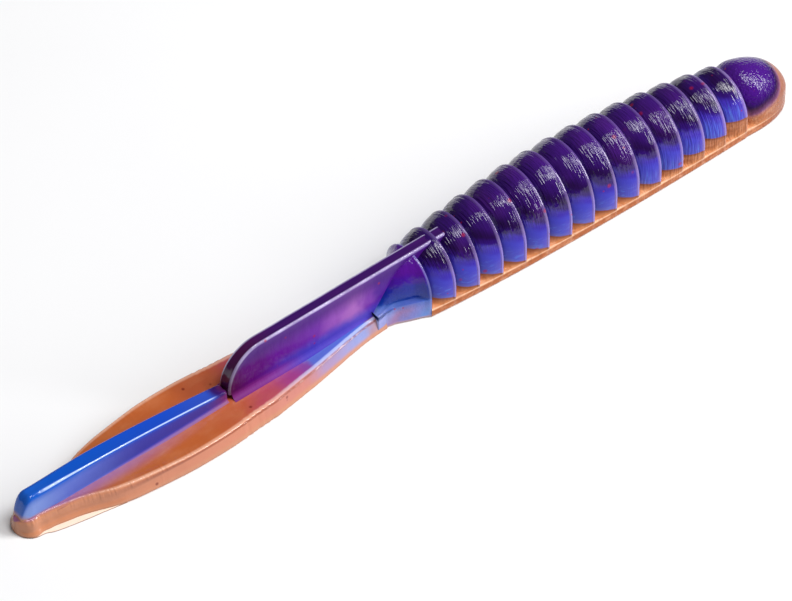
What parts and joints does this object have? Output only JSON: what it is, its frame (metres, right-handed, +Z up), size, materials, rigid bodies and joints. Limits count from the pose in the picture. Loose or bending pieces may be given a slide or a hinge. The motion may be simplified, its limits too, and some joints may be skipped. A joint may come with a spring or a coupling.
{
  "type": "soft plastic worm",
  "caption": "Soft plastic ring worm: sawtooth-ringed round-backed body on a flat belly, tall keel fin, flat leaf tail with a rib. Bends sideways and upwards along body and tail.",
  "frame": {"origin": "on the resting surface, under the middle of the overall length", "axes": "+X towards the head, -X towards the tail tip, +Z up from the flat belly, y = 0 is the middle plane; the head end lies bent up to 1.6 mm to -Y"},
  "size_m": [0.102, 0.01, 0.0092],
  "materials": {
    "back_plastic": "wet-looking translucent purple-blue soft plastic with red flakes",
    "belly_plastic": "wet-looking translucent orange soft plastic",
    "blade_plastic": "wet-looking translucent orange-brown soft plastic, paler at the rim",
    "fin_plastic": "wet-looking translucent purple-magenta soft plastic",
    "rib_plastic": "wet-looking translucent blue soft plastic"
  },
  "bodies": {
    "waist": {"collar_back": "back_plastic", "collar_belly": "belly_plastic", "ring_01_back": "back_plastic", "ring_01_belly": "belly_plastic", "ring_02_back": "back_plastic", "ring_02_belly": "belly_plastic", "fin_front": "fin_plastic"},
    "ring_03": {"ring_03_back": "back_plastic", "ring_03_belly": "belly_plastic"},
    "ring_04": {"ring_04_back": "back_plastic", "ring_04_belly": "belly_plastic"},
    "ring_05": {"ring_05_back": "back_plastic", "ring_05_belly": "belly_plastic"},
    "ring_06": {"ring_06_back": "back_plastic", "ring_06_belly": "belly_plastic"},
    "ring_07": {"ring_07_back": "back_plastic", "ring_07_belly": "belly_plastic"},
    "ring_08": {"ring_08_back": "back_plastic", "ring_08_belly": "belly_plastic"},
    "ring_09": {"ring_09_back": "back_plastic", "ring_09_belly": "belly_plastic"},
    "ring_10": {"ring_10_back": "back_plastic", "ring_10_belly": "belly_plastic"},
    "ring_11": {"ring_11_back": "back_plastic", "ring_11_belly": "belly_plastic"},
    "ring_12": {"ring_12_back": "back_plastic", "ring_12_belly": "belly_plastic"},
    "ring_13": {"ring_13_back": "back_plastic", "ring_13_belly": "belly_plastic"},
    "ring_14": {"ring_14_back": "back_plastic", "ring_14_belly": "belly_plastic"},
    "head": {"head_back": "back_plastic", "head_belly": "belly_plastic"},
    "tail_1": {"tail_blade_1": "blade_plastic", "tail_fin_1": "fin_plastic"},
    "tail_2": {"tail_blade_2": "blade_plastic", "tail_fin_2": "fin_plastic"},
    "tail_3": {"tail_blade_3": "blade_plastic", "tail_fin_3": "fin_plastic"},
    "tail_4": {"tail_blade_4": "blade_plastic", "tail_rib_4": "rib_plastic"},
    "tail_5": {"tail_blade_5": "blade_plastic", "tail_rib_5": "rib_plastic"},
    "tail_6": {"tail_blade_6": "blade_plastic", "tail_rib_6": "rib_plastic"},
    "tail_7": {"tail_blade_7": "blade_plastic", "tail_rib_7": "rib_plastic"},
    "tail_8": {"tail_blade_8": "blade_plastic", "tail_rib_8": "rib_plastic"}
  },
  "joints": [
    {"name": "body_sway", "type": "hinge", "parent": "waist", "child": "ring_03", "pos_m": [0.0076, 0, 0.0042], "axis": [0, 0, 1], "range_deg": [-8, 8], "stiffness_Nm_per_rad": 0.005},
    {"name": "body_curl", "type": "hinge", "parent": "ring_03", "child": "ring_04", "pos_m": [0.01065, 0, 0.0042], "axis": [0, -1, 0], "range_deg": [0, 9], "stiffness_Nm_per_rad": 0.005},
    {"name": "sway_05", "type": "hinge", "parent": "ring_04", "child": "ring_05", "pos_m": [0.0137, 0, 0.0042], "axis": [0, 0, 1], "range_deg": [-8, 8], "stiffness_Nm_per_rad": 0.005},
    {"name": "curl_06", "type": "hinge", "parent": "ring_05", "child": "ring_06", "pos_m": [0.01675, 0, 0.0042], "axis": [0, -1, 0], "range_deg": [0, 9], "stiffness_Nm_per_rad": 0.005},
    {"name": "sway_07", "type": "hinge", "parent": "ring_06", "child": "ring_07", "pos_m": [0.0198, -0.00003, 0.0042], "axis": [0, 0, 1], "range_deg": [-8, 8], "stiffness_Nm_per_rad": 0.005},
    {"name": "curl_08", "type": "hinge", "parent": "ring_07", "child": "ring_08", "pos_m": [0.02285, -0.00008, 0.0042], "axis": [0, -1, 0], "range_deg": [0, 9], "stiffness_Nm_per_rad": 0.005},
    {"name": "sway_09", "type": "hinge", "parent": "ring_08", "child": "ring_09", "pos_m": [0.0259, -0.00015, 0.0042], "axis": [0, 0, 1], "range_deg": [-8, 8], "stiffness_Nm_per_rad": 0.005},
    {"name": "curl_10", "type": "hinge", "parent": "ring_09", "child": "ring_10", "pos_m": [0.02895, -0.00024, 0.0042], "axis": [0, -1, 0], "range_deg": [0, 9], "stiffness_Nm_per_rad": 0.005},
    {"name": "sway_11", "type": "hinge", "parent": "ring_10", "child": "ring_11", "pos_m": [0.032, -0.00036, 0.0042], "axis": [0, 0, 1], "range_deg": [-8, 8], "stiffness_Nm_per_rad": 0.005},
    {"name": "curl_12", "type": "hinge", "parent": "ring_11", "child": "ring_12", "pos_m": [0.03505, -0.0005, 0.0042], "axis": [0, -1, 0], "range_deg": [0, 9], "stiffness_Nm_per_rad": 0.005},
    {"name": "sway_13", "type": "hinge", "parent": "ring_12", "child": "ring_13", "pos_m": [0.0381, -0.00066, 0.0042], "axis": [0, 0, 1], "range_deg": [-8, 8], "stiffness_Nm_per_rad": 0.005},
    {"name": "curl_14", "type": "hinge", "parent": "ring_13", "child": "ring_14", "pos_m": [0.04115, -0.00084, 0.0042], "axis": [0, -1, 0], "range_deg": [0, 9], "stiffness_Nm_per_rad": 0.005},
    {"name": "sway_head", "type": "hinge", "parent": "ring_14", "child": "head", "pos_m": [0.0442, -0.00105, 0.0042], "axis": [0, 0, 1], "range_deg": [-8, 8], "stiffness_Nm_per_rad": 0.005},
    {"name": "tail_sway", "type": "hinge", "parent": "waist", "child": "tail_1", "pos_m": [-0.0052, 0, 0.0012], "axis": [0, 0, 1], "range_deg": [-8, 8], "stiffness_Nm_per_rad": 0.002},
    {"name": "sway_tail_2", "type": "hinge", "parent": "tail_1", "child": "tail_2", "pos_m": [-0.0112, 0, 0.0012], "axis": [0, 0, 1], "range_deg": [-8, 8], "stiffness_Nm_per_rad": 0.002},
    {"name": "sway_tail_3", "type": "hinge", "parent": "tail_2", "child": "tail_3", "pos_m": [-0.0172, 0, 0.0012], "axis": [0, 0, 1], "range_deg": [-8, 8], "stiffness_Nm_per_rad": 0.002},
    {"name": "tail_kick", "type": "hinge", "parent": "tail_3", "child": "tail_4", "pos_m": [-0.0236, 0, 0.0012], "axis": [0, 1, 0], "range_deg": [0, 11], "stiffness_Nm_per_rad": 0.0006},
    {"name": "sway_tail_5", "type": "hinge", "parent": "tail_4", "child": "tail_5", "pos_m": [-0.0294, 0, 0.0012], "axis": [0, 0, 1], "range_deg": [-8, 8], "stiffness_Nm_per_rad": 0.002},
    {"name": "kick_tail_6", "type": "hinge", "parent": "tail_5", "child": "tail_6", "pos_m": [-0.0352, 0, 0.0012], "axis": [0, 1, 0], "range_deg": [0, 11], "stiffness_Nm_per_rad": 0.0006},
    {"name": "sway_tail_7", "type": "hinge", "parent": "tail_6", "child": "tail_7", "pos_m": [-0.041, 0, 0.0012], "axis": [0, 0, 1], "range_deg": [-8, 8], "stiffness_Nm_per_rad": 0.002},
    {"name": "kick_tail_8", "type": "hinge", "parent": "tail_7", "child": "tail_8", "pos_m": [-0.0462, 0, 0.0012], "axis": [0, 1, 0], "range_deg": [0, 11], "stiffness_Nm_per_rad": 0.0006}
  ],
  "couplings": [
    {"joint": "sway_05", "follows": "body_sway", "ratio": 1},
    {"joint": "curl_06", "follows": "body_curl", "ratio": 1},
    {"joint": "sway_07", "follows": "body_sway", "ratio": 1},
    {"joint": "curl_08", "follows": "body_curl", "ratio": 1},
    {"joint": "sway_09", "follows": "body_sway", "ratio": 1},
    {"joint": "curl_10", "follows": "body_curl", "ratio": 1},
    {"joint": "sway_11", "follows": "body_sway", "ratio": 1},
    {"joint": "curl_12", "follows": "body_curl", "ratio": 1},
    {"joint": "sway_13", "follows": "body_sway", "ratio": 1},
    {"joint": "curl_14", "follows": "body_curl", "ratio": 1},
    {"joint": "sway_head", "follows": "body_sway", "ratio": 1},
    {"joint": "sway_tail_2", "follows": "tail_sway", "ratio": 1},
    {"joint": "sway_tail_3", "follows": "tail_sway", "ratio": 1},
    {"joint": "sway_tail_5", "follows": "tail_sway", "ratio": 1},
    {"joint": "kick_tail_6", "follows": "tail_kick", "ratio": 1},
    {"joint": "sway_tail_7", "follows": "tail_sway", "ratio": 1},
    {"joint": "kick_tail_8", "follows": "tail_kick", "ratio": 1}
  ]
}
